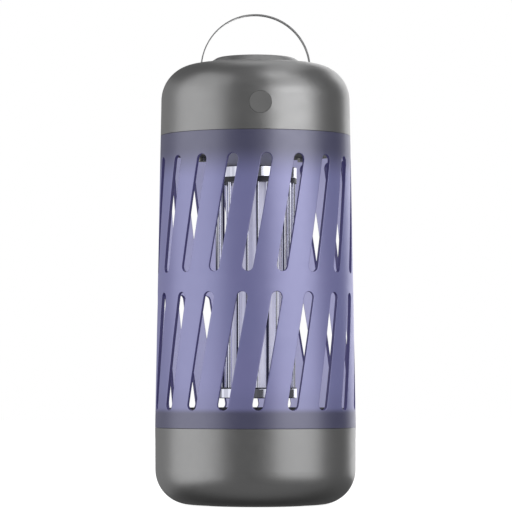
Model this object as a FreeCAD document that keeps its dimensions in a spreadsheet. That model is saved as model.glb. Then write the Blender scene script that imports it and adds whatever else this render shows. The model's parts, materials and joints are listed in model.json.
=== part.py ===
"""Hand-carried electric bug zapper: a lantern-shaped body with an ultraviolet lamp inside a ring of
charged rods, a slotted grille, a twist-off base with a tray for the insects, and a folding bail.

The frame has +Z up and its origin at the centre of the foot. The power button faces -Y and the
charging port faces +Y. All sizes are in millimetres.
"""

import FreeCAD, Part
import math
import os
import re

import Sketcher
from FreeCAD import Placement, Rotation, Vector

SIZES = {
    # Outer skin, from the foot to the crown.
    "body_radius": 45.0,
    "base_foot_radius": 44.8,
    "base_height": 34.7,
    "base_corner": 15.6,
    "grille_top": 165.5,
    "taper": 0.0179,
    "seam_gap": 0.3,
    "wall": 2.2,
    "grille_wall": 1.5,
    "shoulder_height": 197.65,
    "shoulder_corner": 16.2,
    "shoulder_inner_corner": 12.0,
    "disc_foot_radius": 22.1,
    "disc_top_radius": 17.3,
    "disc_edge_height": 200.8,
    "disc_blend": 4.0,
    "crown_height": 202.0,
    # Foot and base cup.
    "foot_step": 0.4,
    "foot_radius": 24.0,
    "foot_thickness": 1.0,
    "base_floor": 2.6,
    "base_flange": 2.2,
    "spigot_radius": 38.6,
    "spigot_wall": 2.0,
    "spigot_top": 42.6,
    "lug_radius": 1.3,
    "lug_height": 41.0,
    "lug_reach": 40.6,
    "lug_count": 3,
    # Ring in the bottom of the grille that the base screws into.
    "ring_bore": 39.0,
    "ring_radius": 43.05,
    "ring_top": 43.4,
    "groove_radius": 41.1,
    "groove_height": 3.3,
    "thread_turn": 60.0,
    "thread_drop": 8.4,
    "thread_overrun": 4.0,
    # Insect tray.
    "tray_radius": 35.8,
    "tray_top": 30.0,
    "tray_bottom": 2.9,
    "tray_wall": 1.2,
    "tray_corner": 11.0,
    # Slots of the grille.
    "slot_count": 18,
    "slot_width": 4.8,
    "slot_lean": 10.0,
    "lower_slot_bottom": 42.65,
    "lower_slot_top": 94.6,
    "lower_slot_angle": 3.8,
    "upper_slot_bottom": 103.5,
    "upper_slot_top": 155.2,
    "upper_slot_angle": -2.0,
    # Charged rods and the rings that hold them.
    "rod_count": 24,
    "rod_radius": 0.7,
    "rod_pitch_radius": 17.2,
    "rod_hole": 0.72,
    "rod_gap": 0.2,
    "grid_ring_radius": 18.5,
    "lower_ring_bore": 15.7,
    "lower_ring_bottom": 47.8,
    "lower_ring_top": 52.2,
    "lower_insulator_top": 52.6,
    "upper_insulator_bottom": 144.2,
    "upper_ring_bottom": 146.3,
    "upper_ring_top": 151.3,
    "rod_depth": 3.0,
    "grid_edge": 0.4,
    "spider_thickness": 2.0,
    "spider_arm_width": 2.2,
    "spider_arm_count": 4,
    "hub_bore": 8.4,
    "hub_radius": 10.8,
    "boss_radius": 15.0,
    "boss_bore": 11.2,
    "lead_pitch_radius": 13.3,
    "lead_angle": 45.0,
    "lead_radius": 0.6,
    "lead_hole": 0.9,
    "lead_clearance": 1.5,
    "contact_radius": 0.8,
    # Lamp.
    "lamp_radius": 10.5,
    "lamp_wall": 1.2,
    "lamp_top": 155.0,
    "lamp_cap_radius": 10.7,
    "lamp_cap_edge": 51.5,
    "lamp_cap_top": 55.5,
    "strip_half_width": 6.0,
    "strip_bottom": 58.0,
    "board_thickness": 1.6,
    "led_count": 6,
    "led_first": 66.0,
    "led_spacing": 15.0,
    "led_width": 3.5,
    "led_height": 2.8,
    "led_thickness": 0.8,
    # Chassis between the grid and the cap.
    "chassis_bottom": 157.3,
    "chassis_floor": 159.5,
    "chassis_radius": 40.1,
    "chassis_rim": 38.4,
    "chassis_top": 169.0,
    "post_offset": 23.3,
    "post_radius": 3.2,
    "post_top": 193.4,
    "post_gap": 0.1,
    "screw_radius": 1.4,
    "screw_clearance": 1.7,
    "screw_head_radius": 2.8,
    "screw_head_height": 1.6,
    "screw_depth": 8.0,
    # High-voltage board.
    "hv_board_bottom": 163.0,
    "hv_board_half_x": 24.0,
    "hv_board_half_y": 18.0,
    "standoff_x": 20.0,
    "standoff_y": 15.0,
    "standoff_radius": 2.4,
    "board_screw_radius": 1.1,
    "board_screw_head": 2.2,
    "board_screw_head_height": 1.4,
    "transformer_x": -9.5,
    "transformer_y": -9.5,
    "core_length": 14.0,
    "core_width": 11.0,
    "core_height": 4.0,
    "winding_radius": 4.8,
    "winding_height": 6.0,
    "capacitor_x": 3.0,
    "capacitor_y": -16.5,
    "capacitor_length": 13.0,
    "capacitor_width": 5.0,
    "capacitor_height": 10.0,
    "capacitor_spacing": 7.0,
    "capacitor_count": 2,
    # Cell and its cradle.
    "cell_radius": 9.2,
    "cell_half_length": 32.5,
    "cell_y": 8.0,
    "cell_z": 180.0,
    "cell_nub_radius": 2.8,
    "cell_nub_length": 0.8,
    "cradle_inner_x": 25.0,
    "cradle_outer_x": 29.0,
    "cradle_half_width": 11.4,
    "cradle_clearance": 0.1,
    "bridge_half_width": 4.0,
    "bridge_bottom": 167.8,
    "bridge_thickness": 2.2,
    "tab_half_size": 3.0,
    "tab_thickness": 0.3,
    # Power button and its switch.
    "button_z": 177.5,
    "button_radius": 4.7,
    "button_hole": 5.0,
    "button_face": 42.35,
    "button_edge": 0.3,
    "button_flange_radius": 6.0,
    "button_flange_front": 39.4,
    "button_flange_back": 38.4,
    "button_stem_radius": 2.0,
    "button_stem_end": 36.1,
    "plunger_radius": 1.6,
    "plunger_front": 36.0,
    "plunger_back": 33.5,
    "switch_front": 34.3,
    "switch_half_size": 3.0,
    "switch_bore": 1.75,
    "switch_bore_end": 32.4,
    "control_board_front": 30.8,
    "control_board_half": 17.0,
    "control_board_bottom": 160.0,
    "control_board_top": 190.0,
    "rail_inner": 16.0,
    "rail_slot": 17.2,
    "rail_outer": 19.6,
    "rail_front": 32.4,
    "rail_back": 27.6,
    "rail_top": 178.0,
    "rail_play": 0.1,
    # Charging port and its rubber flap.
    "port_z": 173.2,
    "port_half_width": 4.9,
    "port_half_height": 2.2,
    "port_corner": 2.1,
    "recess_radius": 41.1,
    "recess_half_height": 4.6,
    "recess_angle": 22.0,
    "flap_radius": 41.4,
    "flap_half_height": 4.3,
    "flap_angle": 20.8,
    "plug_half_width": 3.8,
    "plug_half_height": 1.3,
    "plug_end": 38.9,
    "socket_half_width": 4.47,
    "socket_height": 3.26,
    "socket_corner": 1.3,
    "socket_shell": 0.3,
    "socket_front": 31.0,
    "socket_mouth": 38.4,
    "socket_depth": 5.0,
    "charge_board_half": 9.0,
    "charge_board_front": 27.0,
    "charge_board_back": 38.2,
    "charge_post_x": 6.0,
    "charge_post_y": 31.0,
    "charge_post_radius": 2.0,
    # Bail and the circular groove that it folds into.
    "bail_radius": 24.5,
    "bail_thickness": 0.55,
    "bail_width": 4.0,
    "bail_z": 195.8,
    "bail_hole": 1.02,
    "bail_sweep": 180.0,
    "bail_eye_count": 2,
    "pin_radius": 1.0,
    "pin_bore": 1.06,
    "pin_end": 21.0,
    "pin_head_radius": 1.5,
    "pin_head_height": 0.3,
    "bail_groove_inner": 23.5,
    "bail_groove_outer": 25.6,
    "bail_groove_floor": 193.3,
    "rib_inner": 20.6,
    "rib_outer": 27.8,
    "rib_bottom": 191.1,
    "notch_y": 24.0,
    "notch_radius": 3.4,
    "notch_depth": 2.0,
}

SHEET = "dims"
FULL_TURN = 360
SUBPARTS = {}

doc = FreeCAD.newDocument("bug_zapper")
sheet = doc.addObject("Spreadsheet::Sheet", SHEET)
for row, (alias, value) in enumerate(SIZES.items(), start=1):
    sheet.set(f"A{row}", alias)
    sheet.set(f"B{row}", str(value))
    sheet.setAlias(f"B{row}", alias)
doc.recompute()


# ---------------------------------------------------------------- formulas and features


def bound(formula):
    """A FreeCAD expression from a formula that uses the sheet's names."""
    return re.sub(
        r"[a-z_]+",
        lambda word: f"{SHEET}.{word.group()}" if word.group() in SIZES else word.group(),
        str(formula),
    )


def size(formula):
    """The number that a formula gives now."""
    return float(sheet.evalExpression(bound(formula)))


def skin(height):
    """Formula for the outer radius of the tapered body at a height above the base."""
    return f"(body_radius - ({height} - base_height) * taper)"


def keep(thing, node):
    """Name a finished sub-part after its node."""
    thing.Label = node
    SUBPARTS[node] = thing
    return thing


def origin_part(body, role):
    """One of the planes or axes of a body's own origin."""
    return next(item for item in body.Origin.OriginFeatures if item.Role == role)


def new_body(node):
    """An empty PartDesign body for a node."""
    return keep(doc.addObject("PartDesign::Body", node), node)


def new_sketch(body, name, plane, offset="0", turn="0", rise="0"):
    """A sketch on one of the body's planes, moved off the plane, along its y and turned."""
    sketch = body.newObject("Sketcher::SketchObject", name)
    sketch.AttachmentSupport = [(origin_part(body, plane), "")]
    sketch.MapMode = "FlatFace"
    about = Vector(0, 0, 1) if plane == "XY_Plane" else Vector(0, 1, 0)
    place = Vector(0, size(rise), size(offset))
    sketch.AttachmentOffset = Placement(place, Rotation(about, size(turn)))
    sketch.setExpression("AttachmentOffset.Base.y", bound(rise))
    sketch.setExpression("AttachmentOffset.Base.z", bound(offset))
    sketch.setExpression("AttachmentOffset.Rotation.Angle", bound(f"({turn}) * 1 deg"))
    return sketch


def fix_point(sketch, item, point, x, y):
    """Tie a point of a sketch to formulas for its two coordinates."""
    for kind, axis, formula in (("DistanceX", -2, x), ("DistanceY", -1, y)):
        value = size(formula)
        if abs(value) < 1e-9:
            sketch.addConstraint(Sketcher.Constraint("PointOnObject", item, point, axis))
            continue
        index = sketch.addConstraint(Sketcher.Constraint(kind, -1, 1, item, point, value))
        sketch.setExpression(f"Constraints[{index}]", bound(formula))


def draw_outline(sketch, corners):
    """A closed outline of straight lines through corners given as pairs of formulas."""
    points = [Vector(size(x), size(y), 0) for x, y in corners]
    first = len(sketch.Geometry)
    for here, there in zip(points, points[1:] + points[:1]):
        sketch.addGeometry(Part.LineSegment(here, there))
    last = first + len(points) - 1
    for line in range(first, last + 1):
        following = line + 1 if line < last else first
        sketch.addConstraint(Sketcher.Constraint("Coincident", line, 2, following, 1))
    for line, (x, y) in enumerate(corners, start=first):
        fix_point(sketch, line, 1, x, y)


def draw_circle(sketch, x, y, radius):
    """A circle whose centre and radius are formulas."""
    centre = Vector(size(x), size(y), 0)
    circle = sketch.addGeometry(Part.Circle(centre, Vector(0, 0, 1), size(radius)))
    fix_point(sketch, circle, 3, x, y)
    index = sketch.addConstraint(Sketcher.Constraint("Radius", circle, size(radius)))
    sketch.setExpression(f"Constraints[{index}]", bound(radius))


def draw_slot(sketch, width, bottom, top, lean):
    """A round-ended slot between two heights, its top leaning towards the sketch's +x."""
    radius = size(width) / 2
    half = (size(top) - size(bottom)) / 2 - radius
    middle = (size(top) + size(bottom)) / 2
    angle = math.radians(size(lean))
    shift = half * math.tan(angle)
    upper = Vector(shift, middle + half, 0)
    lower = Vector(-shift, middle - half, 0)
    side = Vector(math.cos(angle), -math.sin(angle), 0) * radius
    up = Vector(0, 0, 1)
    start = -angle
    cap = Part.ArcOfCircle(Part.Circle(upper, up, radius), start, start + math.pi)
    toe = Part.ArcOfCircle(Part.Circle(lower, up, radius), start + math.pi, start + 2 * math.pi)
    arcs = [sketch.addGeometry(cap), sketch.addGeometry(toe)]
    left = sketch.addGeometry(Part.LineSegment(upper - side, lower - side))
    right = sketch.addGeometry(Part.LineSegment(lower + side, upper + side))
    for one, end, other, start_point in (
        (arcs[0], 2, left, 1), (left, 2, arcs[1], 1), (arcs[1], 2, right, 1), (right, 2, arcs[0], 1)
    ):
        sketch.addConstraint(Sketcher.Constraint("Tangent", one, end, other, start_point))
    reach = f"(({top} - {bottom} - {width}) / 2)"
    level = f"(({top} + {bottom}) / 2)"
    fix_point(sketch, arcs[0], 3, f"{reach} * tan({lean} * 1 deg)", f"{level} + {reach}")
    fix_point(sketch, arcs[1], 3, f"-{reach} * tan({lean} * 1 deg)", f"{level} - {reach}")
    index = sketch.addConstraint(Sketcher.Constraint("Radius", arcs[0], radius))
    sketch.setExpression(f"Constraints[{index}]", bound(f"{width} / 2"))


def extrude(body, sketch, kind, length, reversed_way=False, both_ways=False):
    """A Pad or a Pocket of a sketch."""
    feature = body.newObject(f"PartDesign::{kind}", f"{sketch.Name}_{kind.lower()}")
    feature.Profile = sketch
    feature.setExpression("Length", bound(length))
    feature.Reversed = reversed_way
    feature.Midplane = both_ways
    body.Tip = feature
    doc.recompute()
    return feature


def turn(body, sketch, kind, angle="360", both_ways=False):
    """A Revolution or a Groove of a sketch about the sketch's own vertical axis."""
    feature = body.newObject(f"PartDesign::{kind}", f"{sketch.Name}_{kind.lower()}")
    feature.Profile = sketch
    feature.ReferenceAxis = (sketch, ["V_Axis"])
    feature.setExpression("Angle", bound(angle))
    feature.Midplane = both_ways
    body.Tip = feature
    doc.recompute()
    return feature


def repeat(body, feature, count):
    """Repeat a feature evenly around the body's Z axis."""
    pattern = body.newObject("PartDesign::PolarPattern", f"{feature.Name}_around")
    pattern.Originals = [feature]
    pattern.Axis = (origin_part(body, "Z_Axis"), [""])
    pattern.Angle = FULL_TURN
    pattern.setExpression("Occurrences", bound(count))
    body.Tip = pattern
    doc.recompute()
    return pattern


def round_edges(body, places, radius):
    """Round the circular edges that lie at the given radii and heights."""
    base = body.Tip
    wanted = [(size(r), size(z)) for r, z in places]
    names = []
    for number, edge in enumerate(base.Shape.Edges, start=1):
        at = edge.Vertexes[0].Point
        spread = math.hypot(at.x, at.y)
        level = abs(edge.BoundBox.ZMax - edge.BoundBox.ZMin) < 1e-6
        if level and any(math.hypot(spread - r, at.z - z) < 1e-3 for r, z in wanted):
            names.append(f"Edge{number}")
    fillet = body.newObject("PartDesign::Fillet", f"{body.Name}_round_{len(body.Group)}")
    fillet.Base = (base, names)
    fillet.setExpression("Radius", bound(radius))
    body.Tip = fillet
    doc.recompute()
    return fillet


def turned_body(node, corners):
    """A body turned about Z from an outline of (radius, height) corners."""
    body = new_body(node)
    sketch = new_sketch(body, f"{node}_profile", "XZ_Plane")
    draw_outline(sketch, corners)
    turn(body, sketch, "Revolution")
    return body


def round_features(body, name, kind, level, depth, circles, upward):
    """Pads or pockets of circles drawn on a level plane, going up or down from it."""
    sketch = new_sketch(body, name, "XY_Plane", offset=level)
    for x, y, radius in circles:
        draw_circle(sketch, x, y, radius)
    against = upward if kind == "Pocket" else not upward
    return extrude(body, sketch, kind, depth, reversed_way=against)


def holes_around(body, name, level, depth, pitch, radius, count, turn_by="0"):
    """Round holes on a pitch circle, cut downwards from a level."""
    sketch = new_sketch(body, name, "XY_Plane", offset=level, turn=turn_by)
    draw_circle(sketch, pitch, "0", radius)
    pocket = extrude(body, sketch, "Pocket", depth)
    return repeat(body, pocket, count)


def box(name, low, high):
    """A Part box between two corners given as formulas."""
    solid = doc.addObject("Part::Box", name)
    for axis, side, start, end in zip("xyz", ("Length", "Width", "Height"), low, high):
        solid.setExpression(side, bound(f"({end}) - ({start})"))
        solid.setExpression(f"Placement.Base.{axis}", bound(start))
    return solid


def cylinder(name, foot, radius, length, along="z"):
    """A Part cylinder that starts at a foot point and runs along +x, +y or +z."""
    solid = doc.addObject("Part::Cylinder", name)
    direction = {"x": Vector(1, 0, 0), "y": Vector(0, 1, 0), "z": Vector(0, 0, 1)}[along]
    solid.Placement = Placement(Vector(), Rotation(Vector(0, 0, 1), direction))
    solid.setExpression("Radius", bound(radius))
    solid.setExpression("Height", bound(length))
    for axis, formula in zip("xyz", foot):
        solid.setExpression(f"Placement.Base.{axis}", bound(formula))
    return solid


def fuse(name, *solids):
    """Several Part solids joined into one."""
    joined = doc.addObject("Part::MultiFuse", name)
    joined.Shapes = list(solids)
    return joined


def cut(name, base, tool):
    """One Part solid less another."""
    result = doc.addObject("Part::Cut", name)
    result.Base = base
    result.Tool = tool
    return result


def group(name, *solids):
    """Separate identical solids kept in one node."""
    together = doc.addObject("Part::Compound", name)
    together.Links = list(solids)
    return together


# ---------------------------------------------------------------- base


def make_base_cup():
    """Cup that forms the foot, with a spigot and lugs that screw into the grille's ring."""
    rim = "(base_height - seam_gap / 2)"
    inside = "(base_foot_radius - wall)"
    body = turned_body("base_cup", [
        ("0", "foot_thickness"),
        ("foot_radius + seam_gap", "foot_thickness"),
        ("foot_radius + seam_gap", "foot_step"),
        ("base_foot_radius", "foot_step"),
        ("body_radius", rim),
        ("spigot_radius", rim),
        ("spigot_radius", "spigot_top"),
        ("spigot_radius - spigot_wall", "spigot_top"),
        ("spigot_radius - spigot_wall", f"{rim} - base_flange"),
        (inside, f"{rim} - base_flange"),
        (inside, "base_floor"),
        ("0", "base_floor"),
    ])
    round_edges(body, [(inside, "base_floor")], "base_corner - wall")
    round_edges(body, [("base_foot_radius", "foot_step")], "base_corner")
    root = "(spigot_radius - spigot_wall / 2)"
    lug = new_sketch(body, "base_lug", "YZ_Plane", offset=root)
    draw_circle(lug, "0", "lug_height", "lug_radius")
    pad = extrude(body, lug, "Pad", f"lug_reach - {root}")
    repeat(body, pad, "lug_count")


def make_foot_pad():
    """Soft disc let into the underside, which the zapper stands on."""
    keep(cylinder("foot_pad", ("0", "0", "0"), "foot_radius", "foot_thickness"), "foot_pad")


def make_insect_tray():
    """Loose tray in the base cup that catches the insects."""
    floor = "(tray_bottom + tray_wall)"
    inside = "(tray_radius - tray_wall)"
    body = turned_body("insect_tray", [
        ("0", "tray_bottom"),
        ("tray_radius", "tray_bottom"),
        ("tray_radius", "tray_top"),
        (inside, "tray_top"),
        (inside, floor),
        ("0", floor),
    ])
    round_edges(body, [(inside, floor)], "tray_corner - tray_wall")
    round_edges(body, [("tray_radius", "tray_bottom")], "tray_corner")


# ---------------------------------------------------------------- grille


def make_outer_grille():
    """Tapered tube with two rows of leaning slots."""
    bottom = "(base_height + seam_gap / 2)"
    top = "(grille_top - seam_gap / 2)"
    body = turned_body("outer_grille", [
        (f"{skin(bottom)} - grille_wall", bottom),
        (skin(bottom), bottom),
        (skin(top), top),
        (f"{skin(top)} - grille_wall", top),
    ])
    for row in ("lower", "upper"):
        sketch = new_sketch(body, f"{row}_slot", "XZ_Plane", turn=f"{row}_slot_angle")
        draw_slot(sketch, "slot_width", f"{row}_slot_bottom", f"{row}_slot_top", "slot_lean")
        pocket = extrude(body, sketch, "Pocket", "body_radius + wall", reversed_way=True)
        repeat(body, pocket, "slot_count")


def make_lock_ring():
    """Ring bonded into the grille, with quick-thread grooves that open at its lower face."""
    bottom = "(base_height + seam_gap / 2)"
    body = turned_body("lock_ring", [
        ("ring_bore", bottom),
        ("ring_radius", bottom),
        ("ring_radius", "ring_top"),
        ("ring_bore", "ring_top"),
    ])
    overrun = "(thread_overrun * thread_drop / thread_turn)"
    sketch = new_sketch(body, "thread_groove", "XZ_Plane", turn="thread_overrun", rise=overrun)
    draw_outline(sketch, [
        ("spigot_radius", "lug_height - groove_height / 2"),
        ("groove_radius", "lug_height - groove_height / 2"),
        ("groove_radius", "lug_height + groove_height / 2"),
        ("spigot_radius", "lug_height + groove_height / 2"),
    ])
    groove = body.newObject("PartDesign::SubtractiveHelix", "thread_groove_helix")
    groove.Profile = sketch
    groove.ReferenceAxis = (sketch, ["V_Axis"])
    groove.Mode = "pitch-height-angle"
    groove.Reversed = True
    groove.setExpression("Pitch", bound("thread_drop * 360 / thread_turn"))
    groove.setExpression("Height", bound("lug_height - base_height + groove_height"))
    body.Tip = groove
    doc.recompute()
    repeat(body, groove, "lug_count")


# ---------------------------------------------------------------- charged grid


def make_lower_ring():
    """Return-side ring that hangs on the return rods and carries the lamp on four arms."""
    body = turned_body("lower_ring", [
        ("lower_ring_bore", "lower_ring_bottom"),
        ("grid_ring_radius", "lower_ring_bottom"),
        ("grid_ring_radius", "lower_ring_top"),
        ("lower_ring_bore", "lower_ring_top"),
    ])
    edges = [("grid_ring_radius", "lower_ring_bottom"), ("grid_ring_radius", "lower_ring_top")]
    round_edges(body, edges, "grid_edge")
    holes_around(
        body, "return_rod_hole", "lower_ring_top", "rod_depth", "rod_pitch_radius", "rod_hole",
        "rod_count / 2", turn_by="360 / rod_count",
    )
    arm = new_sketch(body, "spider_arm", "XY_Plane", offset="lower_ring_bottom", turn="lead_angle")
    draw_outline(arm, [
        ("hub_radius - grid_edge", "-spider_arm_width / 2"),
        ("lower_ring_bore + grid_edge", "-spider_arm_width / 2"),
        ("lower_ring_bore + grid_edge", "spider_arm_width / 2"),
        ("hub_radius - grid_edge", "spider_arm_width / 2"),
    ])
    hub = new_sketch(body, "spider_hub", "XY_Plane", offset="lower_ring_bottom")
    draw_circle(hub, "0", "0", "hub_radius")
    draw_circle(hub, "0", "0", "hub_bore")
    pad = body.newObject("PartDesign::Pad", "spider_arm_pad")
    pad.Profile = arm
    pad.setExpression("Length", bound("spider_thickness"))
    repeat(body, pad, "spider_arm_count")
    extrude(body, hub, "Pad", "spider_thickness")


def make_insulator(node, bore, bottom, top):
    """Insulating washer with a hole for every rod."""
    body = turned_body(node, [
        (bore, bottom), ("grid_ring_radius", bottom), ("grid_ring_radius", top), (bore, top),
    ])
    holes_around(
        body, f"{node}_hole", top, f"{top} - {bottom}", "rod_pitch_radius", "rod_hole", "rod_count"
    )
    return body


def make_upper_ring():
    """Live-side ring under the boss, which the live rods are set into."""
    body = turned_body("upper_ring", [
        ("boss_bore", "upper_ring_bottom"),
        ("grid_ring_radius", "upper_ring_bottom"),
        ("grid_ring_radius", "upper_ring_top"),
        ("boss_bore", "upper_ring_top"),
    ])
    edges = [("grid_ring_radius", "upper_ring_bottom"), ("grid_ring_radius", "upper_ring_top")]
    round_edges(body, edges, "grid_edge")
    holes_around(
        body, "live_rod_hole", "upper_ring_bottom + rod_depth", "rod_depth", "rod_pitch_radius",
        "rod_hole", "rod_count / 2",
    )
    return body


def lead_hole(body, bottom, top, radius, angle):
    """A hole right through a ring for one of the two leads."""
    sketch = new_sketch(body, f"{body.Name}_lead_hole", "XY_Plane", offset=top, turn=angle)
    draw_circle(sketch, "lead_pitch_radius", "0", radius)
    extrude(body, sketch, "Pocket", f"{top} - {bottom}")


def make_grid():
    """Everything between the chassis and the foot of the charged grid, apart from the lamp."""
    return_side = "lead_angle"
    live_side = "lead_angle + 180"
    make_lower_ring()
    make_insulator("lower_insulator", "lower_ring_bore", "lower_ring_top", "lower_insulator_top")
    upper = make_insulator(
        "upper_insulator", "boss_bore", "upper_insulator_bottom", "upper_ring_bottom"
    )
    lead_hole(upper, "upper_insulator_bottom", "upper_ring_bottom", "lead_hole", return_side)
    ring = make_upper_ring()
    lead_hole(ring, "upper_ring_bottom", "upper_ring_top", "lead_clearance", return_side)
    boss = turned_body("grid_boss", [
        ("boss_bore", "upper_ring_top"),
        ("boss_radius", "upper_ring_top"),
        ("boss_radius", "chassis_bottom"),
        ("boss_bore", "chassis_bottom"),
    ])
    for angle in (return_side, live_side):
        lead_hole(boss, "upper_ring_top", "chassis_bottom", "lead_hole", angle)


def on_pitch(radius, degrees):
    """Formulas for x and y of a point on a pitch circle."""
    return f"{radius} * cos(({degrees}) * 1 deg)", f"{radius} * sin(({degrees}) * 1 deg)"


def make_grid_rods():
    """Upright rods, live and return in turn around the lamp."""
    for number in range(int(SIZES["rod_count"])):
        live = number % 2 == 0
        low = "lower_ring_top + rod_gap" if live else "lower_ring_top - rod_depth"
        high = "upper_ring_bottom + rod_depth" if live else "upper_ring_bottom - rod_gap"
        x, y = on_pitch("rod_pitch_radius", f"{number} * 360 / rod_count")
        node = f"grid_rod_{number + 1:02d}"
        keep(cylinder(node, (x, y, low), "rod_radius", f"({high}) - ({low})"), node)


def make_leads():
    """Straight conductors from the high-voltage board to the two rings of the grid."""
    x, y = on_pitch("lead_pitch_radius", "lead_angle")
    low = "(lower_ring_bottom + spider_thickness)"
    length = f"hv_board_bottom - {low}"
    keep(cylinder("return_lead", (x, y, low), "lead_radius", length), "return_lead")
    x, y = on_pitch("lead_pitch_radius", "lead_angle + 180")
    length = "hv_board_bottom - upper_ring_top"
    keep(cylinder("live_contact", (x, y, "upper_ring_top"), "contact_radius", length), "live_contact")


# ---------------------------------------------------------------- lamp


def make_lamp():
    """Frosted tube with a strip of ultraviolet LEDs on both faces of a board, and its end cap."""
    inside = "(lamp_radius - lamp_wall)"
    turned_body("lamp_tube", [
        (inside, "lamp_cap_edge"),
        ("lamp_radius", "lamp_cap_edge"),
        ("lamp_radius", "lamp_top"),
        (inside, "lamp_top"),
    ])
    seat = "(lower_ring_bottom + spider_thickness)"
    turned_body("lamp_end_cap", [
        ("0", seat),
        ("lamp_cap_radius", seat),
        ("lamp_cap_radius", "lamp_cap_edge"),
        (f"{inside} - rail_play", "lamp_cap_edge"),
        (f"{inside} - rail_play", "lamp_cap_top"),
        ("0", "lamp_cap_top"),
    ])
    low = ("-strip_half_width", "-board_thickness / 2", "strip_bottom")
    high = ("strip_half_width", "board_thickness / 2", "hv_board_bottom")
    keep(box("led_board", low, high), "led_board")
    leds = []
    for face, front, back in (
        ("front", "-board_thickness / 2 - led_thickness", "-board_thickness / 2"),
        ("back", "board_thickness / 2", "board_thickness / 2 + led_thickness"),
    ):
        for number in range(int(SIZES["led_count"])):
            low_z = f"led_first + {number} * led_spacing"
            low = ("-led_width / 2", front, low_z)
            high = ("led_width / 2", back, f"{low_z} + led_height")
            leds.append(box(f"led_{face}_{number + 1}", low, high))
    keep(group("uv_leds", *leds), "uv_leds")


# ---------------------------------------------------------------- chassis and electronics


def four_corners(x, y):
    """The four points at plus and minus x and y, as formulas."""
    return [(f"{i} * {x}", f"{j} * {y}") for i in (1, -1) for j in (1, -1)]


def make_chassis():
    """Tray that closes the cap, joins it to the grille and carries the boards and the grid."""
    body = turned_body("cap_chassis", [
        ("boss_bore", "chassis_bottom"),
        ("chassis_radius", "chassis_bottom"),
        ("chassis_radius", "chassis_top"),
        ("chassis_rim", "chassis_top"),
        ("chassis_rim", "chassis_floor"),
        ("boss_bore", "chassis_floor"),
    ])
    standoffs = four_corners("standoff_x", "standoff_y")
    rise = "hv_board_bottom - chassis_floor"
    pads = [(x, y, "standoff_radius") for x, y in standoffs]
    round_features(body, "standoffs", "Pad", "chassis_floor", rise, pads, upward=True)
    pilots = [(x, y, "board_screw_radius") for x, y in standoffs]
    round_features(body, "pilots", "Pocket", "hv_board_bottom", rise, pilots, upward=False)
    posts = [(f"{i} * charge_post_x", "charge_post_y", "charge_post_radius") for i in (1, -1)]
    height = "port_z - socket_height / 2 - board_thickness - chassis_floor"
    round_features(body, "charge_posts", "Pad", "chassis_floor", height, posts, upward=True)
    for name, side in (("right", 1), ("left", -1)):
        rail = new_sketch(body, f"rail_{name}", "XY_Plane", offset="chassis_floor")
        front = "-control_board_front - rail_play"
        back = "-control_board_front + board_thickness + rail_play"
        draw_outline(rail, [
            (f"{side} * rail_inner", "-rail_front"),
            (f"{side} * rail_outer", "-rail_front"),
            (f"{side} * rail_outer", "-rail_back"),
            (f"{side} * rail_inner", "-rail_back"),
            (f"{side} * rail_inner", back),
            (f"{side} * rail_slot", back),
            (f"{side} * rail_slot", front),
            (f"{side} * rail_inner", front),
        ])
        extrude(body, rail, "Pad", "rail_top - chassis_floor")
    through = "chassis_floor - chassis_bottom"
    holes = [(x, y, "screw_clearance") for x, y in four_corners("post_offset", "post_offset")]
    for degrees in ("lead_angle", "lead_angle + 180"):
        x, y = on_pitch("lead_pitch_radius", degrees)
        holes.append((x, y, "lead_hole"))
    round_features(body, "chassis_holes", "Pocket", "chassis_floor", through, holes, upward=False)


def make_screw(name, x, y, seat, head_up, head_radius, head_height, radius, length):
    """A pan-head screw whose head rests on the seat plane, pointing down or up."""
    if head_up:
        head = cylinder(f"{name}_head", (x, y, seat), head_radius, head_height)
        shank = cylinder(f"{name}_shank", (x, y, f"{seat} - ({length})"), radius, length)
    else:
        foot = f"{seat} - {head_height}"
        head = cylinder(f"{name}_head", (x, y, foot), head_radius, head_height)
        shank = cylinder(f"{name}_shank", (x, y, seat), radius, length)
    return fuse(name, head, shank)


def make_screws():
    """Screws that hold the chassis to the cap, and the high-voltage board to the chassis."""
    chassis = [
        make_screw(
            f"chassis_screw_{number}", x, y, "chassis_bottom", False, "screw_head_radius",
            "screw_head_height", "screw_radius", "chassis_floor + screw_depth - chassis_bottom",
        )
        for number, (x, y) in enumerate(four_corners("post_offset", "post_offset"), start=1)
    ]
    keep(group("chassis_screws", *chassis), "chassis_screws")
    boards = [
        make_screw(
            f"board_screw_{number}", x, y, "(hv_board_bottom + board_thickness)", True,
            "board_screw_head", "board_screw_head_height", "board_screw_radius",
            "hv_board_bottom + board_thickness - chassis_floor",
        )
        for number, (x, y) in enumerate(four_corners("standoff_x", "standoff_y"), start=1)
    ]
    keep(group("board_screws", *boards), "board_screws")


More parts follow.
